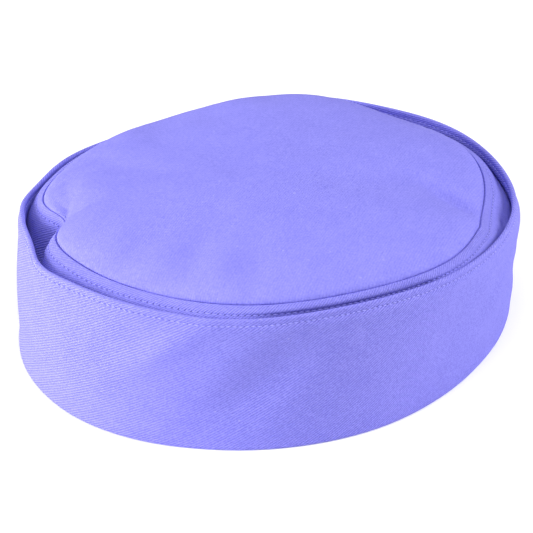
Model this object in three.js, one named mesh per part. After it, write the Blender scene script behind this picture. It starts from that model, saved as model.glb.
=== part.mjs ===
// Round twill cap for kitchen work: a tall turned-up band, a side wall that leans in
// behind it, and a domed top sewn to the side wall. Millimetres, +Z up, resting on Z = 0.
// X is the long way of the oval head opening, and the origin lies below the middle.
import * as THREE from 'three';
import { mergeVertices } from 'three/addons/utils/BufferGeometryUtils.js';

// Driving dimensions
const capLength = 206; // outside of the band at its foot, along X
const capDepth = 179; // outside of the band at its foot, along Y
const bandHeight = 56; // foot to folded rim
const bandThickness = 2.6; // two layers of twill with the fold on top
const sideThickness = 1.3; // side wall
const topThickness = 1.3; // domed top
const hemThickness = 1.3; // inner leg of the band's foot
const hemHeight = 14; // how far that leg runs up inside the head opening
const footThickness = 1.6; // cloth under the lower edge of the side wall
const cornerRadius = 1; // worn round edges of the foot
const ledgeWidth = 10; // from the outside of the band in to the seam round the top
const seamRise = 1.5; // seam above the band's rim
const topRise = 10.5; // middle of the top above the seam
const rollWidth = 5; // how quickly the top rounds over beside the seam
const edgeFade = 4; // how soon folds of the top die out at its seam
const seamGap = 0.3; // clearance between sewn pieces

// How finely the cloth is divided
const stepsRound = 96;
const wallLevels = 6;
// Rings of the top, as shares of the way in from its seam. The first lies over the side
// wall's edge, where the lower face is flat.
const topRings = [0.02, 0.05, 0.1, 0.18, 0.3, 0.46, 0.64, 0.82];

// Sections, one row for each twelfth of a turn, counted from +X towards +Y.
// foot and rim: how far the band stands out of the plain oval there, as shares of half the depth.
// lift: rim above or below the band height, as a share of it. ledge: share of the ledge width.
// rise: share of the seam rise. roll: share of the top's rise that its rounded edge takes up.
// late: how late the side wall leans in on its way up, 1 for all the way.
const sections = [
  { foot: 0.04, rim: -0.01, lift: -0.01, ledge: 1.08, rise: 1.4, roll: 0.4, late: 3 },
  { foot: 0.015, rim: 0.02, lift: 0.0, ledge: 1.05, rise: 1.0, roll: 0.5, late: 3 },
  { foot: 0.01, rim: 0.015, lift: 0.02, ledge: 0.85, rise: 1.2, roll: 0.65, late: 3 },
  { foot: -0.015, rim: -0.02, lift: -0.02, ledge: 0.85, rise: 1.6, roll: 0.75, late: 3 },
  { foot: -0.01, rim: -0.02, lift: -0.025, ledge: 0.9, rise: 1.4, roll: 0.55, late: 3 },
  { foot: 0.0, rim: -0.04, lift: -0.025, ledge: 0.8, rise: 1.4, roll: 0.45, late: 5 },
  { foot: -0.005, rim: -0.025, lift: 0.01, ledge: 1.1, rise: 1.6, roll: 0.4, late: 2.5 },
  { foot: 0.025, rim: -0.024, lift: 0.0, ledge: 1.0, rise: 1.2, roll: 0.4, late: 4 },
  { foot: 0.025, rim: -0.004, lift: -0.02, ledge: 0.68, rise: 2.2, roll: 0.4, late: 5 },
  { foot: 0.01, rim: -0.002, lift: 0.0, ledge: 0.68, rise: 1.6, roll: 0.35, late: 5 },
  { foot: -0.03, rim: -0.008, lift: -0.03, ledge: 0.67, rise: 1.9, roll: 0.35, late: 4.5 },
  { foot: -0.03, rim: -0.014, lift: -0.04, ledge: 1.32, rise: 1.2, roll: 0.4, late: 5 },
];

// Where the seam is pushed in at one end: its place and half width in degrees,
// its depth as a share of the ledge width, and how late the wall below follows it.
const pinch = { at: 171, width: 8, depth: 0.8, late: 1.3 };

// Soft folds in the band: place and half width in degrees, height and half height
// as shares of the band height, and how far they stand out as a share of its thickness.
const bandFolds = [
  { at: 181, width: 17, height: 1, reach: 0.22, out: -1.6 },
  { at: 189, width: 8.5, height: 1, reach: 0.25, out: 1.7 },
  { at: 350, width: 22, height: 1, reach: 0.15, out: -0.6 },
  { at: 338, width: 16, height: 0.85, reach: 0.18, out: 0.7 },
  { at: 337, width: 9, height: 0.52, reach: 0.13, out: -0.5 },
  { at: 334, width: 11, height: 0.28, reach: 0.13, out: 0.4 },
  { at: 316, width: 9, height: 0.64, reach: 0.18, out: 0.4 },
  { at: 300, width: 10, height: 0.5, reach: 0.16, out: -0.3 },
  { at: 200, width: 11, height: 0.5, reach: 0.3, out: 0.35 },
  { at: 96, width: 14, height: 0.5, reach: 0.3, out: -0.45 },
];

// Folds and ripples of the top: place as shares of half the length and half the depth,
// direction in degrees, half length and half width as shares of half the depth,
// and height as a share of the top's rise.
const topFolds = [
  { x: -0.75, y: 0.24, turn: 62, long: 0.17, wide: 0.07, high: -0.34 },
  { x: 0.59, y: -0.48, turn: 113, long: 0.2, wide: 0.08, high: -0.22 },
  { x: -0.66, y: -0.33, turn: 22, long: 0.2, wide: 0.06, high: -0.09 },
  { x: -0.52, y: -0.55, turn: 44, long: 0.2, wide: 0.06, high: -0.09 },
  { x: -0.33, y: -0.73, turn: 63, long: 0.2, wide: 0.07, high: -0.1 },
  { x: -0.52, y: 0.42, turn: 120, long: 0.25, wide: 0.08, high: -0.1 },
  { x: -0.2, y: 0.7, turn: 70, long: 0.22, wide: 0.12, high: -0.14 },
];

const halfLength = capLength / 2;
const halfDepth = capDepth / 2;
const fullTurn = 2 * Math.PI;

// Smooth closed curve through one column of the sections.
function around(column, angle) {
  const place = (angle / fullTurn) * sections.length;
  const first = Math.floor(place);
  const part = place - first;
  const row = (shift) => sections[(first + shift + sections.length) % sections.length][column];
  const tangentA = (row(1) - row(-1)) / 2;
  const tangentB = (row(2) - row(0)) / 2;
  const square = part * part;
  const cube = square * part;
  return (
    (2 * cube - 3 * square + 1) * row(0) +
    (cube - 2 * square + part) * tangentA +
    (3 * square - 2 * cube) * row(1) +
    (cube - square) * tangentB
  );
}

// 1 in the middle of a fold, falling softly to 0 beyond its half width.
function hump(distance, halfWidth) {
  return Math.exp(-((distance / halfWidth) ** 2));
}

function humpRound(angle, fold) {
  const away = angle - THREE.MathUtils.degToRad(fold.at);
  const nearest = Math.atan2(Math.sin(away), Math.cos(away));
  return hump(nearest, THREE.MathUtils.degToRad(fold.width));
}

function ovalRadius(angle) {
  return 1 / Math.hypot(Math.cos(angle) / halfLength, Math.sin(angle) / halfDepth);
}

function rimHeight(angle) {
  return bandHeight * (1 + around('lift', angle));
}

// Heights at which the walls are divided, from the hem up to the band's fold. The band and the
// side wall share them, so the clearance between them stays the same all the way up.
function wallHeights(angle) {
  const heights = [];
  for (let step = 0; step < wallLevels; step += 1) {
    const share = step / (wallLevels - 1);
    heights.push(THREE.MathUtils.lerp(hemHeight, rimHeight(angle) - bandThickness / 2, share));
  }
  return heights;
}

// Outside of the band at a height.
function bandRadius(angle, height) {
  const share = Math.min(height / rimHeight(angle), 1);
  const stand = THREE.MathUtils.lerp(around('foot', angle), around('rim', angle), share);
  let radius = ovalRadius(angle) + stand * halfDepth;
  for (const fold of bandFolds) {
    const strength = humpRound(angle, fold) * hump(share - fold.height, fold.reach);
    radius += fold.out * bandThickness * strength;
  }
  return radius;
}

// Seam between the side wall and the top, which the band's folds don't move.
function seamPush(angle) {
  return ledgeWidth * pinch.depth * humpRound(angle, pinch);
}

function seamRadius(angle) {
  const rimLine = ovalRadius(angle) + around('rim', angle) * halfDepth;
  return rimLine - ledgeWidth * around('ledge', angle) - seamPush(angle);
}

function seamHeight(angle) {
  return rimHeight(angle) + seamRise * around('rise', angle);
}

// Outside of the side wall: along the band up to the hem, then leaning in to the seam.
function sideRadius(angle, height) {
  const inBand = (level) => bandRadius(angle, level) - bandThickness - seamGap;
  const lean = inBand(seamHeight(angle)) - seamRadius(angle) - seamPush(angle);
  const share = Math.max(height - hemHeight, 0) / (seamHeight(angle) - hemHeight);
  return inBand(height) - lean * share ** around('late', angle) - seamPush(angle) * share ** pinch.late;
}

// Upper face of the top, at a share of the way in from the seam to the middle.
function topHeight(angle, inward) {
  const nearSeam = inward * seamRadius(angle);
  const roll = around('roll', angle) * (1 - Math.exp(-nearSeam / rollWidth));
  const dome = (1 - around('roll', angle)) * (1 - (1 - inward) ** 2);
  const level = THREE.MathUtils.lerp(seamHeight(angle), bandHeight + seamRise, inward);
  const x = (1 - inward) * seamRadius(angle) * Math.cos(angle);
  const y = (1 - inward) * seamRadius(angle) * Math.sin(angle);
  let folds = 0;
  for (const fold of topFolds) {
    const direction = THREE.MathUtils.degToRad(fold.turn);
    const awayX = x - fold.x * halfLength;
    const awayY = y - fold.y * halfDepth;
    const along = awayX * Math.cos(direction) + awayY * Math.sin(direction);
    const across = awayY * Math.cos(direction) - awayX * Math.sin(direction);
    folds += fold.high * hump(along, fold.long * halfDepth) * hump(across, fold.wide * halfDepth);
  }
  const fade = 1 - Math.exp(-nearSeam / edgeFade);
  return level + topRise * (roll + dome + folds * fade);
}

// Closed outline of the band cut through at one angle, from the foot up the outside,
// over the rim, down the inside, and round the slot that holds the side wall.
function bandSection(angle) {
  const rim = rimHeight(angle);
  const slot = sideThickness + 2 * seamGap;
  const depthInside = bandThickness + slot + hemThickness;
  const halfFold = bandThickness / 2;
  const outside = (height) => bandRadius(angle, height);
  const heights = wallHeights(angle);
  const points = [[outside(0) - cornerRadius, 0]];
  points.push([outside(cornerRadius), cornerRadius]);
  for (const height of heights) {
    points.push([outside(height), height]);
  }
  for (const bend of [45, 90, 135]) {
    const lean = THREE.MathUtils.degToRad(bend);
    const middle = outside(rim) - halfFold;
    points.push([middle + halfFold * Math.cos(lean), rim - halfFold + halfFold * Math.sin(lean)]);
  }
  for (const height of heights.reverse()) {
    points.push([outside(height) - bandThickness, height]);
  }
  points.push([outside(footThickness) - bandThickness, footThickness]);
  points.push([outside(footThickness) - bandThickness - slot, footThickness]);
  points.push([outside(hemHeight) - bandThickness - slot, hemHeight]);
  points.push([outside(hemHeight) - depthInside, hemHeight]);
  points.push([outside(cornerRadius) - depthInside, cornerRadius]);
  points.push([outside(0) - depthInside + cornerRadius, 0]);
  return points;
}

// Closed outline of the side wall at one angle, up the outside and down the inside.
function sideSection(angle) {
  const foot = footThickness + seamGap;
  const edge = seamHeight(angle) - topThickness - seamGap;
  const levels = [foot, ...wallHeights(angle), edge];
  const outer = levels.map((height) => [sideRadius(angle, height), height]);
  const inner = outer.map(([radius, height]) => [radius - sideThickness, height]);
  return [...outer, ...inner.reverse()];
}

// A closed ring of cloth: one section at each step, joined to the next and round to the first.
function ringGeometry(section) {
  const position = [];
  const index = [];
  let count = 0;
  for (let step = 0; step < stepsRound; step += 1) {
    const angle = (step / stepsRound) * fullTurn;
    const points = section(angle);
    count = points.length;
    for (const [radius, height] of points) {
      position.push(radius * Math.cos(angle), radius * Math.sin(angle), height);
    }
  }
  for (let step = 0; step < stepsRound; step += 1) {
    const here = step * count;
    const next = ((step + 1) % stepsRound) * count;
    for (let point = 0; point < count; point += 1) {
      const above = (point + 1) % count;
      index.push(here + point, next + point, next + above);
      index.push(here + point, next + above, here + above);
    }
  }
  return closedGeometry(position, index);
}

function closedGeometry(position, index) {
  const geometry = new THREE.BufferGeometry();
  geometry.setAttribute('position', new THREE.Float32BufferAttribute(position, 3));
  geometry.setIndex(index);
  const merged = mergeVertices(geometry, 1e-4);
  merged.computeVertexNormals();
  return merged;
}

// Upper and lower face of the top at one angle, from the middle out to the seam and back.
// The lower face starts flat on the side wall's edge and then follows the upper one.
function topSection(angle) {
  const edgeWidth = sideThickness + seamGap;
  const upper = [[seamRadius(angle), seamHeight(angle)]];
  const lower = [
    [seamRadius(angle), seamHeight(angle) - topThickness],
    [seamRadius(angle) - edgeWidth, seamHeight(angle) - topThickness],
  ];
  for (const [ring, inward] of topRings.entries()) {
    const overEdge = ring === 0;
    const radius = seamRadius(angle) * (1 - inward);
    const height = topHeight(angle, inward);
    const nearby = 0.01;
    const slope = (topHeight(angle, inward + nearby) - height) / (nearby * seamRadius(angle));
    upper.push([radius, height]);
    if (!overEdge) {
      lower.push([radius, height - topThickness * Math.hypot(1, slope)]);
    }
  }
  return { upper, lower };
}

function topGeometry() {
  const position = [];
  const index = [];
  const middle = bandHeight + seamRise + topRise;
  const rings = [];
  for (let step = 0; step < stepsRound; step += 1) {
    const angle = (step / stepsRound) * fullTurn;
    const { upper, lower } = topSection(angle);
    rings.push([...upper.reverse(), ...lower]);
  }
  const count = rings[0].length;
  for (let step = 0; step < stepsRound; step += 1) {
    const angle = (step / stepsRound) * fullTurn;
    for (const [radius, height] of rings[step]) {
      position.push(radius * Math.cos(angle), radius * Math.sin(angle), height);
    }
  }
  const above = stepsRound * count;
  const below = above + 1;
  position.push(0, 0, middle, 0, 0, middle - topThickness);
  for (let step = 0; step < stepsRound; step += 1) {
    const here = step * count;
    const next = ((step + 1) % stepsRound) * count;
    index.push(above, here, next);
    index.push(below, next + count - 1, here + count - 1);
    for (let point = 0; point < count - 1; point += 1) {
      index.push(here + point, here + point + 1, next + point + 1);
      index.push(here + point, next + point + 1, next + point);
    }
  }
  return closedGeometry(position, index);
}

function twill(color) {
  return new THREE.MeshStandardMaterial({ color, roughness: 0.85, metalness: 0 });
}

const band = new THREE.Mesh(ringGeometry(bandSection), twill(0x9693ef));
band.name = 'band';

const crownSide = new THREE.Mesh(ringGeometry(sideSection), twill(0x8a86e0));
crownSide.name = 'crown_side';

const crownTip = new THREE.Mesh(topGeometry(), twill(0x9a97f6));
crownTip.name = 'crown_tip';

// The band's outline decides where the middle of the cap is.
const cap = new THREE.Group();
cap.add(band, crownSide, crownTip);
const middleOfCap = new THREE.Box3().setFromObject(cap).getCenter(new THREE.Vector3());
cap.position.set(-middleOfCap.x, -middleOfCap.y, 0);
cap.updateMatrixWorld(true);

export default cap;
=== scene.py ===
import math

import bmesh
import bpy
import numpy as np
from mathutils import Matrix, Vector, noise
from mathutils.bvhtree import BVHTree


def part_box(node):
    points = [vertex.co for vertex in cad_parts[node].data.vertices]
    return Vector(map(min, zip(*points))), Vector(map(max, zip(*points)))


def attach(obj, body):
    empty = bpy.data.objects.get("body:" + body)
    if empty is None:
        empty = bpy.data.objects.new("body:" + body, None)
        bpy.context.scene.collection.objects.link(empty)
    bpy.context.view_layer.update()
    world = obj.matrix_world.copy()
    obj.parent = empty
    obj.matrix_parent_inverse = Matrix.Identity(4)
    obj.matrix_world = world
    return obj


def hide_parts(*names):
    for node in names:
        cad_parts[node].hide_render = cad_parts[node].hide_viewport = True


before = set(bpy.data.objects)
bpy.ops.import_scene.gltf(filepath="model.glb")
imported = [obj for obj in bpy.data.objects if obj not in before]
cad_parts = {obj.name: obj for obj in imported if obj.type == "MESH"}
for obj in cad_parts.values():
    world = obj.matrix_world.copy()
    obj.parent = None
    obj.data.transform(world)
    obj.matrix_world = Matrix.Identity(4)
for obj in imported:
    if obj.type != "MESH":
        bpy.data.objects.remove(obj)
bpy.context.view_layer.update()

mm = 0.001
fullTurn = 2 * math.pi


# Camera and light

camera = {
    "azimuth": -24.0,
    "elevation": 30.0,
    "distance": 0.8,
    "target": (-0.00254, 0.0002, 0.025),
    "lens": 134.24,
}

studio = {
    "world": 0.13,
    "floorSize": 8.0,
    "floorColour": (0.9, 0.9, 0.9),
    "floorGlow": 0.15,  # a lit table, so that the cap casts hardly any shadow
    # turn is counted from the camera's right hand, tilt above the floor, both in degrees
    "lights": [
        {"name": "window", "turn": 197, "tilt": 12, "distance": 1.4, "size": 0.9, "power": 28.5},
        {"name": "windowTop", "turn": 210, "tilt": 42, "distance": 1.4, "size": 0.9, "power": 4.5},
        {"name": "lamp", "turn": 356, "tilt": 32, "distance": 1.4, "size": 0.9, "power": 15.5},
        {"name": "ceiling", "turn": 285, "tilt": 76, "distance": 1.4, "size": 0.9, "power": 8.5},
    ],
}


def lookFrom(thing, place, target):
    thing.location = place
    thing.rotation_euler = (Vector(target) - Vector(place)).to_track_quat("-Z", "Y").to_euler()


def direction(turn, tilt):
    a, e = math.radians(turn), math.radians(tilt)
    return Vector((math.cos(a) * math.cos(e), math.sin(a) * math.cos(e), math.sin(e)))


def makeCamera():
    data = bpy.data.cameras.new("camera")
    data.lens = camera["lens"]
    thing = bpy.data.objects.new("camera", data)
    bpy.context.scene.collection.objects.link(thing)
    target = Vector(camera["target"])
    away = direction(camera["azimuth"] - 90, camera["elevation"])
    lookFrom(thing, target + away * camera["distance"], target)
    bpy.context.scene.camera = thing


def makeStudio():
    scene = bpy.context.scene
    scene.view_settings.view_transform = "Standard"
    world = bpy.data.worlds.new("studio")
    world.use_nodes = True
    sky = world.node_tree.nodes["Background"]
    sky.inputs["Color"].default_value = (1, 1, 1, 1)
    sky.inputs["Strength"].default_value = studio["world"]
    scene.world = world
    target = Vector(camera["target"])
    for light in studio["lights"]:
        data = bpy.data.lights.new(light["name"], "AREA")
        data.shape = "DISK"
        data.size = light["size"]
        data.energy = light["power"]
        thing = bpy.data.objects.new(light["name"], data)
        scene.collection.objects.link(thing)
        away = direction(light["turn"] + camera["azimuth"], light["tilt"])
        lookFrom(thing, target + away * light["distance"], target)
    ground = bmesh.new()
    bmesh.ops.create_grid(ground, x_segments=2, y_segments=2, size=studio["floorSize"] / 2)
    mesh = bpy.data.meshes.new("floor")
    ground.to_mesh(mesh)
    ground.free()
    floor = bpy.data.objects.new("floor", mesh)
    scene.collection.objects.link(floor)
    paint = Finish("floorPaint")
    paint.shader.inputs["Base Color"].default_value = (*studio["floorColour"], 1)
    paint.shader.inputs["Roughness"].default_value = 0.9
    paint.shader.inputs["Specular IOR Level"].default_value = 0.0
    paint.shader.inputs["Emission Color"].default_value = (1, 1, 1, 1)
    paint.shader.inputs["Emission Strength"].default_value = studio["floorGlow"]
    mesh.materials.append(paint.material)


# Finishes

class Wire:
    # an output socket that can be written in sums
    def __init__(self, finish, socket):
        self.finish = finish
        self.socket = socket

    def math(self, operation, *values):
        sockets = dict(enumerate(values))
        return self.finish.add("ShaderNodeMath", {"operation": operation}, sockets)

    def __add__(self, other):
        return self.math("ADD", self, other)

    def __sub__(self, other):
        return self.math("SUBTRACT", self, other)

    def __rsub__(self, other):
        return self.math("SUBTRACT", other, self)

    def __mul__(self, other):
        return self.math("MULTIPLY", self, other)

    __radd__ = __add__
    __rmul__ = __mul__

    def wave(self):
        # from 0 to 1 and back over each whole number
        return self.math("COSINE", self * fullTurn) * 0.5 + 0.5

    def above(self, level, width):
        # 0 below the level, 1 once it is passed by the width
        sockets = {"Value": self, "From Min": level, "From Max": level + width}
        return self.finish.add("ShaderNodeMapRange", {}, sockets)


class Finish:
    # a material with its principled shader
    def __init__(self, name):
        self.material = bpy.data.materials.new(name)
        self.material.use_nodes = True
        self.shader = self.material.node_tree.nodes["Principled BSDF"]

    def add(self, kind, settings, sockets, output=0):
        node = self.material.node_tree.nodes.new(kind)
        for name, value in settings.items():
            setattr(node, name, value)
        for name, value in sockets.items():
            self.feed(node.inputs[name], value)
        return Wire(self, node.outputs[output])

    def feed(self, socket, value):
        if isinstance(value, Wire):
            self.material.node_tree.links.new(value.socket, socket)
        else:
            socket.default_value = value

    def noise(self, place, size, detail, output="Fac"):
        sockets = {"Vector": place, "Scale": 1 / size, "Detail": detail, "Roughness": 0.6}
        return self.add("ShaderNodeTexNoise", {}, sockets, output)

    def mix(self, share, first, second):
        sockets = {"Factor": share, "A": first, "B": second}
        return self.add("ShaderNodeMix", {"data_type": "RGBA"}, {0: share, 6: first, 7: second}, 2)


cloth = {
    "light": (0.302, 0.290, 0.86, 1),
    "dark": (0.186, 0.177, 0.70, 1),
    "lint": (0.55, 0.54, 0.95, 1),
    # colour of the painted shade in the needle holes
    "holeShade": (0.05, 0.045, 0.26, 1),
    "roughness": 0.86,
    "specular": 0.15,
    "sheen": 0.03,
    "sheenRoughness": 0.5,
    "grain": 0.8 * mm,
    "slub": 1.3 * mm,
    "mottle": 9 * mm,
    "cloud": 45 * mm,
    "lintCell": 10 * mm,
    "lintSize": 0.03,
    "walePitch": 0.92 * mm,
    "floatPitch": 1.6 * mm,
    "holeSize": 0.34 * mm,
}


def twill(name, piece, holes=None, roundLength=None):
    # holes: number of stitches round the cap, where their row runs on the cloth and how much painted shade
    # darkens the needle holes
    finish = Finish(name)
    a = math.radians(piece["wales"])
    acrossRate = math.sin(a) / cloth["walePitch"]
    alongRate = math.cos(a) / cloth["floatPitch"]
    if roundLength:
        acrossRate = round(acrossRate * roundLength) / roundLength
        alongRate = round(alongRate * roundLength) / roundLength
    weave = finish.add("ShaderNodeUVMap", {"uv_map": "cloth"}, {})
    parts = finish.add("ShaderNodeSeparateXYZ", {}, {0: weave})
    first = Wire(finish, parts.socket.node.outputs["X"])
    second = Wire(finish, parts.socket.node.outputs["Y"])
    place = finish.add("ShaderNodeTexCoord", {}, {}, "Object")
    grain = finish.noise(place, cloth["grain"], 1)
    slub = finish.noise(place, cloth["slub"], 3)
    mottle = finish.noise(place, cloth["mottle"], 4)
    cloud = finish.noise(place, cloth["cloud"], 2)
    wale = (second * (math.cos(a) / cloth["walePitch"]) - first * acrossRate + slub * 0.5).wave()
    knot = (first * alongRate + second * (math.sin(a) / cloth["floatPitch"]) + slub * 0.8).wave()
    weaveHeight = wale * 0.75 + wale * knot * 0.25
    cell = finish.add("ShaderNodeTexVoronoi", {}, {"Vector": place, "Scale": 1 / cloth["lintCell"]})
    lint = 1 - cell.above(cloth["lintSize"], 0.03)
    shares = (piece["weaveShade"], piece["grainShade"], 0.4, 0.4, 0.3)
    shade = sum(part * share for part, share in zip((wale, grain, slub, mottle, cloud), shares))
    colour = finish.mix(shade + (1 - sum(shares)) / 2, cloth["dark"], cloth["light"])
    colour = finish.mix(lint * 0.25, colour, cloth["lint"])
    height = weaveHeight * piece["weaveRelief"] + slub * 0.03 * mm + grain * 0.02 * mm + lint * 0.03 * mm
    if holes:
        beside = (first * (holes["count"] / roundLength)).wave().above(0.9, 0.08)
        off = second - holes["at"]
        near = 1 - (off * off).above((0.6 * cloth["holeSize"]) ** 2, cloth["holeSize"] ** 2)
        # painted shade: the needle holes are coloured dark, and the same mask sinks the cloth a little
        colour = finish.mix(beside * near * holes["dark"], colour, cloth["holeShade"])
        height = height - beside * near * 0.2 * mm
    finish.feed(finish.shader.inputs["Base Color"], colour)
    bump = finish.add("ShaderNodeBump", {}, {"Height": height, "Distance": 1.0, "Strength": 1.0})
    finish.feed(finish.shader.inputs["Normal"], bump)
    finish.shader.inputs["Roughness"].default_value = cloth["roughness"]
    finish.shader.inputs["Specular IOR Level"].default_value = cloth["specular"]
    finish.shader.inputs["Sheen Weight"].default_value = cloth["sheen"]
    finish.shader.inputs["Sheen Roughness"].default_value = cloth["sheenRoughness"]
    return finish.material


thread = {
    "colour": (0.42, 0.41, 0.95, 1),
    "shade": (0.29, 0.28, 0.85, 1),
    "plyPitch": 0.5 * mm,
    "relief": 0.05 * mm,
}


def sewingThread(name):
    finish = Finish(name)
    place = finish.add("ShaderNodeTexCoord", {}, {}, "Object")
    grain = finish.noise(place, thread["plyPitch"], 2)
    finish.feed(finish.shader.inputs["Base Color"], finish.mix(grain, thread["shade"], thread["colour"]))
    sockets = {"Height": grain, "Distance": thread["relief"], "Strength": 1.0}
    finish.feed(finish.shader.inputs["Normal"], finish.add("ShaderNodeBump", {}, sockets))
    finish.shader.inputs["Roughness"].default_value = 0.7
    return finish.material


# Reading the frame: the pieces drawn here follow the solids they stand for

reading = {
    "columns": 576,  # directions round the cap
    "parts": 12,  # equal parts that a ring is spun in
    "waves": 36,  # ripples kept round the cap, so that flat faces don't show
    "far": 0.2,
    "step": 0.25 * mm,
}
columnAngles = np.arange(reading["columns"]) / reading["columns"] * fullTurn


def treeOf(node):
    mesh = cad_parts[node].data
    corners = [corner.co for corner in mesh.vertices]
    return BVHTree.FromPolygons(corners, [tuple(face.vertices) for face in mesh.polygons])


def radiusAt(tree, angle, height):
    outward = Vector((math.cos(angle), math.sin(angle), 0))
    start = outward * reading["far"] + Vector((0, 0, height))
    distance = tree.ray_cast(start, -outward)[3]
    return 0.0 if distance is None else reading["far"] - distance


def heightAt(tree, angle, radius):
    start = Vector((radius * math.cos(angle), radius * math.sin(angle), reading["far"]))
    return tree.ray_cast(start, Vector((0, 0, -1)))[0].z


def smoothRound(values):
    waves = np.fft.rfft(values, axis=-1)
    waves[..., reading["waves"]:] = 0
    return np.fft.irfft(waves, reading["columns"], axis=-1)


class Reading:
    # values on several levels and all the way round, and what lies between them
    def __init__(self, levels, rows):
        self.levels = np.array(levels, float)
        self.rows = smoothRound(np.array(rows, float))
        self.slopes = np.gradient(self.rows, self.levels, axis=0) if len(levels) > 1 else 0 * self.rows

    def at(self, level, angle):
        place = np.asarray(angle) / fullTurn * reading["columns"]
        left = np.floor(place).astype(int)
        part = place - left
        left, right = left % reading["columns"], (left + 1) % reading["columns"]

        def cell(table, row):
            return table[row, left] * (1 - part) + table[row, right] * part

        if len(self.levels) == 1:
            return cell(self.rows, 0)
        level = np.clip(level, self.levels[0], self.levels[-1])
        row = np.searchsorted(self.levels, level, side="right") - 1
        row = np.clip(row, 0, len(self.levels) - 2)
        width = self.levels[row + 1] - self.levels[row]
        t = (level - self.levels[row]) / width
        low, high = cell(self.rows, row), cell(self.rows, row + 1)
        rise, fall = cell(self.slopes, row) * width, cell(self.slopes, row + 1) * width
        return (
            (2 * t**3 - 3 * t**2 + 1) * low
            + (t**3 - 2 * t**2 + t) * rise
            + (3 * t**2 - 2 * t**3) * high
            + (t**3 - t**2) * fall
        )


def readFrame():
    bandTree, sideTree, tipTree = (treeOf(node) for node in ("band", "crown_side", "crown_tip"))
    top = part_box("band")[1].z
    half = bandCloth["thick"] / 2
    found = {}
    rim = [heightAt(bandTree, a, radiusAt(bandTree, a, top * 0.9) - half) for a in columnAngles]
    found["rim"] = Reading([0], [rim])
    shares = [0.03, 0.14, 0.27, 0.4, 0.52, 0.64, 0.76, 0.87, 0.95]
    rows = [[radiusAt(bandTree, a, s * z) for a, z in zip(columnAngles, rim)] for s in shares]
    found["band"] = Reading(shares, rows)
    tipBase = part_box("crown_tip")[0].z
    heights = np.arange(tipBase, tipBase + 9 * mm, reading["step"])
    seam = [max(radiusAt(tipTree, a, z) for z in heights) for a in columnAngles]
    edge = 0.1 * mm
    seamTop = [heightAt(tipTree, a, r - edge) for a, r in zip(columnAngles, seam)]
    found["seam"] = Reading([0], [seam])
    found["seamTop"] = Reading([0], [seamTop])
    shares = [0.05, 0.2, 0.33, 0.46, 0.58, 0.7, 0.82, 0.94]
    rows = [[radiusAt(sideTree, a, s * z) for a, z in zip(columnAngles, seamTop)] for s in shares]
    found["side"] = Reading([*shares, 1.0], [*rows, seam])
    inward = [0.02, 0.05, 0.1, 0.18, 0.3, 0.46, 0.64, 0.82, 0.96]
    rows = [[heightAt(tipTree, a, r * (1 - s)) for a, r in zip(columnAngles, seam)] for s in inward]
    pole = [heightAt(tipTree, 0, 0)] * reading["columns"]
    found["tip"] = Reading([0, *inward, 1], [seamTop, *rows, pole])
    return found


# Shapes shared by the pieces

def bell(away, width):
    return np.exp(-((away / width) ** 2))


def turnedAway(angle, degrees):
    away = angle - math.radians(degrees)
    return np.degrees(np.arctan2(np.sin(away), np.cos(away)))


def unevenness(points, size, depth):
    return np.array([noise.noise(Vector(point) / size) for point in points]) * depth


def arc(centre, radius, start, end, count):
    turns = np.radians(np.linspace(start, end, count))
    return [(centre[0] + radius * math.cos(t), centre[1] + radius * math.sin(t)) for t in turns]


def repeatRound(work, count, share=1):
    # copies of everything so far, the count of them filling the share of a turn
    everything = work.verts[:] + work.edges[:] + work.faces[:]
    bmesh.ops.spin(
        work, geom=everything, cent=(0, 0, 0), axis=(0, 0, 1), dvec=(0, 0, 0),
        angle=fullTurn * share * (count - 1) / count, steps=count - 1, use_merge=False, use_duplicate=True,
    )


def smoothMesh(work, name):
    bmesh.ops.recalc_face_normals(work, faces=work.faces)
    mesh = bpy.data.meshes.new(name)
    work.to_mesh(mesh)
    work.free()
    mesh.shade_smooth()
    return mesh


def spinSection(name, section, radius, closed):
    # a section of (way in from the outside, height) turned once round the cap
    work = bmesh.new()
    along = work.verts.layers.float.new("along")
    run = 0.0
    chain = []
    for inset, height in section:
        corner = work.verts.new((radius - inset, 0, height))
        if chain:
            run += (corner.co - chain[-1].co).length
        corner[along] = run
        chain.append(corner)
    edges = [work.edges.new(pair) for pair in zip(chain, chain[1:])]
    if closed:
        edges.append(work.edges.new((chain[-1], chain[0])))
    parts = reading["parts"]
    bmesh.ops.spin(
        work, geom=chain + edges, cent=(0, 0, 0), axis=(0, 0, 1), dvec=(0, 0, 0),
        angle=fullTurn / parts, steps=reading["columns"] // parts, use_merge=False, use_duplicate=False,
    )
    repeatRound(work, parts)
    bmesh.ops.remove_doubles(work, verts=work.verts, dist=0.01 * mm)
    return smoothMesh(work, name)


def pointsOf(mesh):
    flat = np.empty(len(mesh.vertices) * 3)
    mesh.vertices.foreach_get("co", flat)
    return flat.reshape(-1, 3)


def movePoints(mesh, points):
    mesh.vertices.foreach_set("co", np.ascontiguousarray(points).ravel())
    mesh.update()


def clothUv(mesh, first, second, firstWrap=None, secondWrap=None):
    corners = np.empty(len(mesh.loops), int)
    mesh.loops.foreach_get("vertex_index", corners)
    starts = np.empty(len(mesh.polygons), int)
    mesh.polygons.foreach_get("loop_start", starts)
    counts = np.empty(len(mesh.polygons), int)
    mesh.polygons.foreach_get("loop_total", counts)
    faceOf = np.repeat(np.arange(len(starts)), counts)
    pair = []
    for values, wrap in ((first, firstWrap), (second, secondWrap)):
        value = values[corners]
        if wrap:
            # a face that crosses the join keeps its corners side by side
            highest = np.maximum.reduceat(value, starts)[faceOf]
            value = np.where(highest - value > wrap / 2, value + wrap, value)
        pair.append(value)
    layer = mesh.uv_layers.new(name="cloth")
    layer.data.foreach_set("uv", np.stack(pair, 1).astype(np.float32).ravel())


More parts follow.
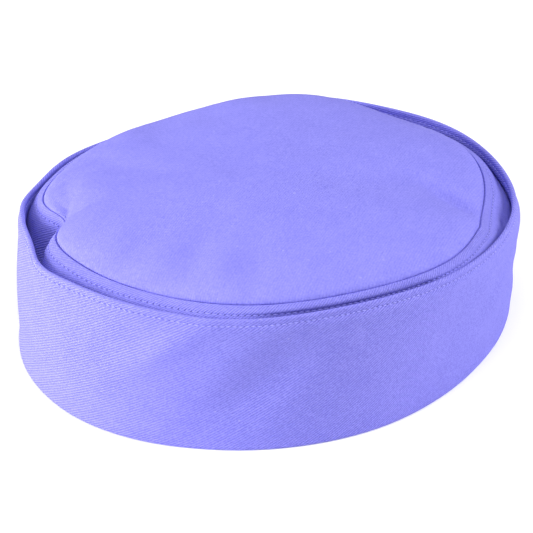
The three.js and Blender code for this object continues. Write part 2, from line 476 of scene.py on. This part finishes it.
def showPiece(mesh, name, slot, materials, *nodes):
    piece = bpy.data.objects.new(name, mesh)
    bpy.context.scene.collection.objects.link(piece)
    for material in materials:
        mesh.materials.append(material)
    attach(piece, "root")
    if nodes:
        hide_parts(*nodes)
    print(name, len(mesh.polygons), "faces")
    return piece


def ringPiece(name, section, radius, shape, slot, material, node):
    mesh = spinSection(name, section, radius, True)
    points = pointsOf(mesh)
    run = np.empty(len(mesh.vertices))
    mesh.attributes["along"].data.foreach_get("value", run)
    angle = np.arctan2(points[:, 1], points[:, 0]) % fullTurn
    inset = radius - np.hypot(points[:, 0], points[:, 1])
    movePoints(mesh, shape(angle, inset, points[:, 2]))
    turn = angle / fullTurn * clothRound
    clothUv(mesh, turn, run, clothRound, run.max())
    return showPiece(mesh, name, slot, [material], node)


clothRound = 0.6  # length of cloth round the cap that the weave is counted on


# The band

bandCloth = {
    "height": 56 * mm,
    "thick": 2.6 * mm,
    "foldThick": 1.9 * mm,
    "stitchDown": 2.7 * mm,
    "stitchDent": 0.2 * mm,
    "stitchDentWidth": 0.45 * mm,
    "puff": 0.2 * mm,
    "puffWidth": 1.6 * mm,
    "foot": 1.6 * mm,
    "slot": 1.9 * mm,
    "leg": 1.3 * mm,
    "legHeight": 14 * mm,
    "wander": 0.35 * mm,
    "wanderSize": 16 * mm,
    "wales": 32,
    "weaveShade": 0.9,
    "grainShade": 1.6,
    "weaveRelief": 0.2 * mm,
    "stitches": 260,
    "holes": 0.22,  # how much painted shade darkens the needle holes
}

# place round the cap in degrees, height, direction on the cloth, half length and half width, outward
bandFolds = [
    {"at": 318, "height": 39, "turn": 24, "long": 16, "wide": 4, "out": -1.1},
    {"at": 321, "height": 30, "turn": 20, "long": 16, "wide": 5, "out": 0.8},
    {"at": 222, "height": 41, "turn": 38, "long": 20, "wide": 5.5, "out": 1.9},
    {"at": 243, "height": 28, "turn": 40, "long": 26, "wide": 10, "out": -2.3},
    {"at": 338, "height": 47, "turn": 0, "long": 14, "wide": 6, "out": 0.7},
    {"at": 337, "height": 31, "turn": 0, "long": 12, "wide": 8, "out": 1.7},
    {"at": 156, "height": 22, "turn": 0, "long": 16, "wide": 14, "out": -0.8},
    {"at": 166, "height": 8, "turn": 0, "long": 14, "wide": 9, "out": -0.9},
    {"at": 312, "height": 5, "turn": 0, "long": 24, "wide": 12, "out": -0.8},
    {"at": 154, "height": 52, "turn": 0, "long": 14, "wide": 9, "out": 1.1},
]

# dips of the rim: place, half width in degrees, how far down
rimDips = [
    {"at": 114, "wide": 15, "down": 2.0},
    {"at": 147, "wide": 9, "down": 1.2},
    {"at": 34, "wide": 15, "down": 0.8},
]


def clothFolds(folds, angle, height, radius):
    moved = np.zeros(np.shape(angle))
    for fold in folds:
        side = np.radians(turnedAway(angle, fold["at"])) * radius
        rise = height - fold["height"] * mm
        a = math.radians(fold["turn"])
        along = side * math.cos(a) + rise * math.sin(a)
        across = rise * math.cos(a) - side * math.sin(a)
        moved += fold["out"] * mm * bell(along, fold["long"] * mm) * bell(across, fold["wide"] * mm)
    return moved


def bandShape(angle, inset, height):
    share = height / bandCloth["height"]
    radius = found["band"].at(share, angle) + clothFolds(bandFolds, angle, height, 0.095) - inset
    rim = found["rim"].at(0, angle)
    for dip in rimDips:
        rim = rim - dip["down"] * mm * bell(turnedAway(angle, dip["at"]), dip["wide"])
    rise = share * rim
    return np.stack([radius * np.cos(angle), radius * np.sin(angle), rise], -1)


def rowOf(size):
    return size["height"] - size["stitchDown"]


def bandRelief(height):
    # the fold is pressed thinner than the band, and the cloth is drawn in along the stitches
    away = height - rowOf(bandCloth)
    narrow = (bandCloth["thick"] - bandCloth["foldThick"]) / 2
    dent = bandCloth["stitchDent"] * bell(away, bandCloth["stitchDentWidth"])
    puff = bandCloth["puff"] * bell(away + 2.4 * mm, bandCloth["puffWidth"])
    return narrow / (1 + np.exp(-(away + 0.3 * mm) / (0.35 * mm))) + dent - puff


def bandSection():
    size = bandCloth
    thick, leg, slot, foot = size["thick"], size["leg"], size["slot"], size["foot"]
    corner = 1.0 * mm
    bend = size["foldThick"] / 2
    springing = size["height"] - bend
    plain = np.arange(2.5 * mm, 48 * mm, 2.2 * mm)
    fine = np.linspace(48.5 * mm, springing - 0.15 * mm, 18)
    levels = [*plain, *fine]
    section = [(corner * 3, 0)]
    section += arc((corner, corner), corner, 270, 180, 5)
    section += [(bandRelief(z), z) for z in levels]
    section += arc((thick / 2, springing), bend, 180, 0, 11)
    section += [(thick - bandRelief(z), z) for z in reversed(levels)]
    section += [(thick, foot), (thick + slot / 2, foot), (thick + slot, foot)]
    section += [(thick + slot, z) for z in np.linspace(4 * mm, size["legHeight"] - leg / 2, 5)]
    section += arc((thick + slot + leg / 2, size["legHeight"] - leg / 2), leg / 2, 180, 0, 6)
    section += [(thick + slot + leg, z) for z in np.linspace(size["legHeight"] - 2 * mm, 2 * mm, 5)]
    section += arc((thick + slot + leg - corner, corner), corner, 0, -90, 5)
    section += [(thick + slot / 2, 0)]
    return section


# The side wall

sideCloth = {
    "height": 62 * mm,  # along the cloth, from the foot to the seam
    "thick": 1.3 * mm,
    "foot": 1.9 * mm,
    "stitchDown": 4.3 * mm,
    "stitchDent": 0.3 * mm,
    "stitchDentWidth": 0.5 * mm,
    "pressed": 0.35 * mm,
    "edgeRound": 0.42 * mm,
    "tongue": 0.9 * mm,  # the part sewn in under the top
    "seamGap": 0.3 * mm,
    "seamDown": 0.95 * mm,
    "bend": 0.28,  # how softly the shoulder turns down into the wall, as a share of its width
    "leastBend": 0.6 * mm,
    "mostBend": 2.6 * mm,
    "leastShoulder": 1.6 * mm,
    "straightTo": 12 * mm,
    "kept": 0.88,  # share of the height up to which the wall is read from the frame
    "wales": 44,
    "weaveShade": 0.8,
    "grainShade": 1.1,
    "weaveRelief": 0.22 * mm,
    "stitches": 230,
    # how much painted shade darkens the needle holes
    "holes": 0.5,
}

# the shoulder under the seam: place, gap left to the band, fall from the seam to where it turns down
shoulder = [
    {"at": 8, "gap": 0.8, "fall": 2.8},
    {"at": 20, "gap": 0.8, "fall": 1.7},
    {"at": 32, "gap": 0.8, "fall": 1.6},
    {"at": 60, "gap": 1.2, "fall": 2.5},
    {"at": 120, "gap": 0.8, "fall": 1.8},
    {"at": 138, "gap": 0.8, "fall": 1.7},
    {"at": 148, "gap": 0.8, "fall": 2.4},
    {"at": 152, "gap": 0.9, "fall": 3.6},
    {"at": 155, "gap": 1.0, "fall": 5.2},
    {"at": 159, "gap": 2.4, "fall": 6.0},
    {"at": 164, "gap": 5.0, "fall": 6.5},
    {"at": 171, "gap": 13.0, "fall": 7.0},
    {"at": 174, "gap": 12.0, "fall": 5.0},
    {"at": 178, "gap": 4.5, "fall": 3.5},
    {"at": 184, "gap": 1.8, "fall": 4.0},
    {"at": 196, "gap": 1.6, "fall": 4.0},
    {"at": 208, "gap": 0.7, "fall": 3.0},
    {"at": 238, "gap": 0.4, "fall": 2.4},
    {"at": 247, "gap": 1.6, "fall": 1.3},
    {"at": 268, "gap": 2.2, "fall": 1.2},
    {"at": 286, "gap": 2.2, "fall": 1.4},
    {"at": 293, "gap": 0.4, "fall": 2.0},
    {"at": 308, "gap": 0.3, "fall": 2.0},
    {"at": 322, "gap": 0.4, "fall": 3.0},
    {"at": 334, "gap": 0.7, "fall": 8.0},
    {"at": 342, "gap": 0.8, "fall": 6.0},
    {"at": 350, "gap": 0.8, "fall": 4.5},
    {"at": 358, "gap": 0.8, "fall": 3.4},
]

sideFolds = [
    {"at": 329, "height": 50, "turn": 20, "long": 8, "wide": 2, "out": -0.8},
]

# corners of the seam: place, half width on its two sides in degrees, way in
seamKinks = [
    {"at": 173.0, "back": 1.6, "front": 4.0, "in": 1.8},
    {"at": 320.5, "back": 5, "front": 5, "in": -1.0},
]


# where the seam lies deeper: place, half width in degrees, way in and down
seamBends = [
    {"at": 26, "wide": 16, "in": 2.2, "down": 1.6},
]


def tableRound(rows, column):
    places = [row["at"] for row in rows]
    values = np.interp(np.degrees(columnAngles), places, [row[column] for row in rows], period=360)
    return Reading([0], [values * mm])


def seamAt(angle):
    radius = found["seam"].at(0, angle)
    for kink in seamKinks:
        away = turnedAway(angle, kink["at"])
        width = np.where(away > 0, kink["back"], kink["front"])
        radius = radius - kink["in"] * mm * np.exp(-np.abs(away) / width)
    for bend in seamBends:
        radius = radius - bend["in"] * mm * bell(turnedAway(angle, bend["at"]), bend["wide"])
    return radius


def seamLow(angle):
    low = np.zeros(np.shape(angle))
    for bend in seamBends:
        low += bend["down"] * mm * bell(turnedAway(angle, bend["at"]), bend["wide"])
    return low


def bandInside(angle):
    level = bandCloth["height"] - 3 * mm
    fold = clothFolds(bandFolds, angle, level, 0.095)
    return found["band"].at(level / bandCloth["height"], angle) + fold - bandCloth["thick"] + 0.3 * mm


def sidePath(angle, down):
    # down: way along the cloth from the seam, over the shoulder and then down the wall
    size = sideCloth
    top = found["seamTop"].at(0, angle) - seamLow(angle)
    seam = seamAt(angle) + size["seamGap"]
    fall = found["fall"].at(0, angle)
    out = np.maximum(bandInside(angle) - found["gap"].at(0, angle) - seam, size["leastShoulder"])
    wide = np.hypot(out, fall)
    turn = top - size["seamDown"] - fall
    bend = np.clip(size["bend"] * out, size["leastBend"], size["mostBend"])
    past = bend * np.logaddexp(0, (down - wide) / bend)
    over = down - past
    rise = turn + fall * (1 - over / wide) - past * turn / (size["height"] - wide)
    wall = np.clip(turn - past * turn / (size["height"] - wide), 0, None)
    push = seam + out - found["side"].at(np.minimum(turn / top, size["kept"]), angle)
    part = np.clip((wall - size["straightTo"]) / (turn - size["straightTo"]), 0, 1)
    part = part * part * (3 - 2 * part)
    lower = found["side"].at(np.minimum(wall / top, size["kept"]), angle) + push * part
    return seam + out * over / wide + lower - (seam + out), rise


def sideShape(angle, inset, height):
    down = sideCloth["height"] - height
    step = 0.2 * mm
    radius, rise = sidePath(angle, down)
    before, after = sidePath(angle, down - step), sidePath(angle, down + step)
    outward, upward = after[0] - before[0], after[1] - before[1]
    long = np.hypot(outward, upward)
    inset = inset - clothFolds(sideFolds, angle, height, 0.09)
    radius = radius + inset * upward / long
    rise = rise - inset * outward / long
    return np.stack([radius * np.cos(angle), radius * np.sin(angle), rise], -1)


def sideRelief(height):
    away = height - rowOf(sideCloth)
    dent = sideCloth["stitchDent"] * bell(away, sideCloth["stitchDentWidth"])
    return dent - sideCloth["pressed"] / (1 + np.exp(-(away - 0.9 * mm) / (0.3 * mm)))


def sideSection():
    size = sideCloth
    top, edge, thick = size["height"], size["edgeRound"], size["thick"]
    plain = [*np.linspace(size["foot"], 14 * mm, 5), *np.arange(16 * mm, 44 * mm, 2.4 * mm)]
    fine = np.linspace(45 * mm, top - edge - 0.1 * mm, 42)
    centre = (edge - size["pressed"], top - edge)
    under = centre[0] + 0.94 * edge
    section = [(sideRelief(z), z) for z in (*plain, *fine)]
    section += arc(centre, edge, 170, 20, 8)
    section += [(under, top + size["tongue"] / 2), (under, top + size["tongue"])]
    section += [(thick, top + size["tongue"])]
    section += [(thick, z) for z in np.linspace(top, 14 * mm, 30)]
    section += [(thick, z) for z in np.linspace(11 * mm, size["foot"], 4)]
    return section


# The top

tipCloth = {
    "radius": 90 * mm,
    "thick": 1.3 * mm,
    "crease": 0.15 * mm,
    "pucker": 0.16 * mm,
    "puckerSize": 5 * mm,
    "puckerReach": 9 * mm,
    "wander": 0.3 * mm,
    "wanderSize": 22 * mm,
    "wales": 43,
    "weaveShade": 0.2,
    "grainShade": 1.3,
    "weaveRelief": 0.08 * mm,
    "full": 0.8 * mm,  # how much the edge is rounded out, and where, as a share of the way in
    "fullAt": 0.28,
}

# place, direction in degrees, half length and half width in mm, height in mm
tipFolds = [
    {"x": -66, "y": -28, "turn": 20, "long": 13, "wide": 4, "high": -0.5},
    {"x": -52, "y": -46, "turn": 42, "long": 14, "wide": 4, "high": -0.45},
    {"x": -34, "y": -62, "turn": 60, "long": 15, "wide": 4.5, "high": -0.45},
    {"x": -59, "y": -38, "turn": 31, "long": 13, "wide": 4, "high": 0.35},
    {"x": -44, "y": -55, "turn": 52, "long": 14, "wide": 4, "high": 0.4},
    {"x": 61, "y": -37, "turn": -59, "long": 14, "wide": 3.4, "high": -2.5},
    {"x": -68, "y": 36.5, "turn": 8, "long": 11, "wide": 1.6, "high": -0.7},
    {"x": -57, "y": 46.5, "turn": 5, "long": 14, "wide": 1.8, "high": -0.5},
    {"x": -70, "y": 42, "turn": 8, "long": 10, "wide": 2.5, "high": 0.4},
    {"x": -3, "y": 64, "turn": 0, "long": 15, "wide": 13, "high": -1.7},
    {"x": 30, "y": 66, "turn": 0, "long": 10, "wide": 11, "high": -1.1},
]

# a fold with one steep side: from and to in mm, depth, width of the soft side and the steep side
tipCreases = [
    {"from": (-82.2, 12.6), "to": (-73.5, 25.0), "deep": 2.2, "soft": 9, "steep": 0.9},
]


def tipRelief(x, y):
    moved = np.zeros(np.shape(x))
    for fold in tipFolds:
        a = math.radians(fold["turn"])
        awayX, awayY = x - fold["x"] * mm, y - fold["y"] * mm
        along = awayX * math.cos(a) + awayY * math.sin(a)
        across = awayY * math.cos(a) - awayX * math.sin(a)
        moved += fold["high"] * mm * bell(along, fold["long"] * mm) * bell(across, fold["wide"] * mm)
    for crease in tipCreases:
        start, end = np.array(crease["from"]) * mm, np.array(crease["to"]) * mm
        reach = np.linalg.norm(end - start)
        run = (end - start) / reach
        along = ((x - start[0]) * run[0] + (y - start[1]) * run[1]) / reach
        across = (y - start[1]) * run[0] - (x - start[0]) * run[1]
        width = np.where(across > 0, crease["soft"], crease["steep"]) * mm
        strength = np.clip(1 - np.abs(along) ** 1.5, 0, 1)
        moved -= crease["deep"] * mm * strength * np.exp(-np.abs(across) / width)
    return moved


def tipShape(angle, share, lift):
    seam = seamAt(angle)
    radius = seam * (1 - share)
    x, y = radius * np.cos(angle), radius * np.sin(angle)
    inward = seam * share
    fade = np.clip(inward / (4 * mm), 0, 1)
    rise = found["tip"].at(share, angle) + tipRelief(x, y) * (0.3 + 0.7 * fade)
    rise = rise - seamLow(angle) * np.exp(-np.clip(share, 0, 1) / 0.25)
    part = np.clip(share, 0, 1) / tipCloth["fullAt"]
    rise = rise + tipCloth["full"] * part * np.exp(1 - part)
    return np.stack([x, y, rise + lift], -1)


def tipSection():
    size = tipCloth
    thick, crease = size["thick"], size["crease"]
    full = size["radius"]
    rings = [*np.arange(0, 80 * mm, 1.7 * mm), *np.linspace(81 * mm, full - crease - 1.3 * mm, 14)]
    section = [(full - ring, 0) for ring in rings]
    section += [
        (crease + 0.85 * mm, -0.06 * mm), (crease + 0.5 * mm, -0.25 * mm), (crease + 0.2 * mm, -0.6 * mm),
        (crease + 0.03 * mm, -1.0 * mm), (crease + 0.1 * mm, -1.5 * mm),
    ]
    under = np.linspace(full - crease - 1.3 * mm, 0, 26)
    section += [(full - ring, -thick - 0.9 * mm * math.exp(-(full - ring) / (6 * mm))) for ring in under]
    return section


def tipPiece(material):
    full = tipCloth["radius"]
    mesh = spinSection("crown_tip_cloth", tipSection(), full, False)
    points = pointsOf(mesh)
    angle = np.arctan2(points[:, 1], points[:, 0]) % fullTurn
    share = 1 - np.hypot(points[:, 0], points[:, 1]) / full
    points = tipShape(angle, share, points[:, 2])
    inward = share * full
    points[:, 2] += unevenness(points, tipCloth["wanderSize"], tipCloth["wander"])
    near = np.exp(-inward / tipCloth["puckerReach"])
    points[:, 2] += unevenness(points, tipCloth["puckerSize"], tipCloth["pucker"]) * near
    movePoints(mesh, points)
    clothUv(mesh, points[:, 0], points[:, 1])
    return showPiece(mesh, "crown_tip_cloth", "top_twill", [material], "crown_tip")


# Stitches

stitch = {
    "perGroup": 10,
    "long": 0.66,  # share of the pitch that the thread covers
    "width": 0.44 * mm,
    "height": 0.42 * mm,
    "proud": 0.1 * mm,
}


def stitchRow(name, count, shape, inset, row, radius, slot, material):
    # inset: how far in from the outside the threads lie; row: their height
    half = (stitch["height"] / 2, radius * fullTurn / count * stitch["long"] / 2, stitch["width"] / 2, 1)
    middle = Matrix.Rotation(fullTurn / count / 2, 4, "Z")
    place = middle @ Matrix.Translation((radius - inset, 0, row)) @ Matrix.Diagonal(half)
    work = bmesh.new()
    bmesh.ops.create_uvsphere(work, u_segments=6, v_segments=6, radius=1, matrix=place)
    groups = count // stitch["perGroup"]
    repeatRound(work, stitch["perGroup"], 1 / groups)
    repeatRound(work, groups)
    mesh = smoothMesh(work, name)
    points = pointsOf(mesh)
    angle, away = np.arctan2(points[:, 1], points[:, 0]) % fullTurn, np.hypot(points[:, 0], points[:, 1])
    movePoints(mesh, shape(angle, radius - away, points[:, 2]))
    return showPiece(mesh, name, slot, [material])


# Loose fibres on the left of the band's fold

fibre = {
    "thick": 0.14 * mm,
    "off": 0.2 * mm,
    "colour": (0.45, 0.44, 0.93, 1),
}

# place round the cap in degrees, height, radius of the bow in mm, where it starts and how far it turns
fibres = [
    {"at": 176.6, "height": 51.2, "bow": 3.0, "from": 55, "sweep": 110},
    {"at": 179.0, "height": 53.4, "bow": 2.2, "from": 10, "sweep": 120},
    {"at": 183.2, "height": 57.4, "bow": 3.6, "from": 215, "sweep": 75},
    {"at": 186.6, "height": 53.6, "bow": 2.4, "from": 20, "sweep": 80},
    {"at": 174.6, "height": 48.6, "bow": 1.6, "from": 120, "sweep": 100},
]


def fibrePiece(name, shape, radius, slot):
    finish = Finish("fibre")
    finish.shader.inputs["Base Color"].default_value = fibre["colour"]
    finish.shader.inputs["Roughness"].default_value = 0.8
    work = bmesh.new()
    for hair in fibres:
        turn = Matrix.Rotation(math.radians(hair["at"]), 4, "Z")
        outward = turn @ Vector((1, 0, 0))
        centre = outward * (radius + fibre["off"]) + Vector((0, 0, hair["height"] * mm))
        lean = Matrix.Rotation(math.radians(hair["from"]), 4, "X")
        place = Matrix.Translation(centre) @ turn @ lean @ Matrix.Translation((0, hair["bow"] * mm, 0))
        ring = bmesh.ops.create_circle(work, segments=6, radius=fibre["thick"] / 2, matrix=place)["verts"]
        edges = list(dict.fromkeys(edge for corner in ring for edge in corner.link_edges))
        bmesh.ops.spin(
            work, geom=ring + edges, cent=centre, axis=outward, dvec=(0, 0, 0),
            angle=math.radians(hair["sweep"]), steps=14, use_merge=False, use_duplicate=False,
        )
    bmesh.ops.holes_fill(work, edges=work.edges, sides=6)
    mesh = smoothMesh(work, name)
    points = pointsOf(mesh)
    angle, away = np.arctan2(points[:, 1], points[:, 0]) % fullTurn, np.hypot(points[:, 0], points[:, 1])
    movePoints(mesh, shape(angle, radius - away, points[:, 2]))
    return showPiece(mesh, name, slot, [finish.material])


# Making

makeCamera()
makeStudio()
print("camera and studio")

found = readFrame()
found["gap"] = tableRound(shoulder, "gap")
found["fall"] = tableRound(shoulder, "fall")
print("frame read")

def runTo(section, inset, height):
    # way along the section to its point nearest the given one
    points = np.array(section)
    runs = np.concatenate([[0], np.cumsum(np.hypot(*np.diff(points, axis=0).T))])
    return runs[np.argmin(np.hypot(points[:, 0] - inset, points[:, 1] - height))]


bandRow, sideRow = rowOf(bandCloth), rowOf(sideCloth)
bandProfile, sideProfile = bandSection(), sideSection()
bandRun = runTo(bandProfile, bandRelief(bandRow), bandRow)
bandHoles = {"count": bandCloth["stitches"], "at": bandRun, "dark": bandCloth["holes"]}
sideRun = runTo(sideProfile, sideRelief(sideRow), sideRow)
sideHoles = {"count": sideCloth["stitches"], "at": sideRun, "dark": sideCloth["holes"]}
bandTwill = twill("bandTwill", bandCloth, bandHoles, clothRound)
sideTwill = twill("sideTwill", sideCloth, sideHoles, clothRound)
tipTwill = twill("tipTwill", tipCloth)
threadFinish = sewingThread("thread")

ringPiece("band_cloth", bandProfile, 0.095, bandShape, "band_twill", bandTwill, "band")
ringPiece("crown_side_cloth", sideProfile, 0.09, sideShape, "side_twill", sideTwill, "crown_side")
tipPiece(tipTwill)

bandStitches, sideStitches = bandCloth["stitches"], sideCloth["stitches"]
bandDent = bandRelief(bandRow) - stitch["proud"]
stitchRow("band_stitches", bandStitches, bandShape, bandDent, bandRow, 0.095, "band_twill", threadFinish)
innerDent = bandCloth["thick"] - bandDent
stitchRow(
    "band_stitches_inside", bandStitches, bandShape, innerDent, bandRow, 0.095, "band_twill", threadFinish
)
sideDent = sideRelief(sideRow) - stitch["proud"]
stitchRow("side_stitches", sideStitches, sideShape, sideDent, sideRow, 0.09, "side_twill", threadFinish)

fibrePiece("loose_fibres", bandShape, 0.095, "band_twill")
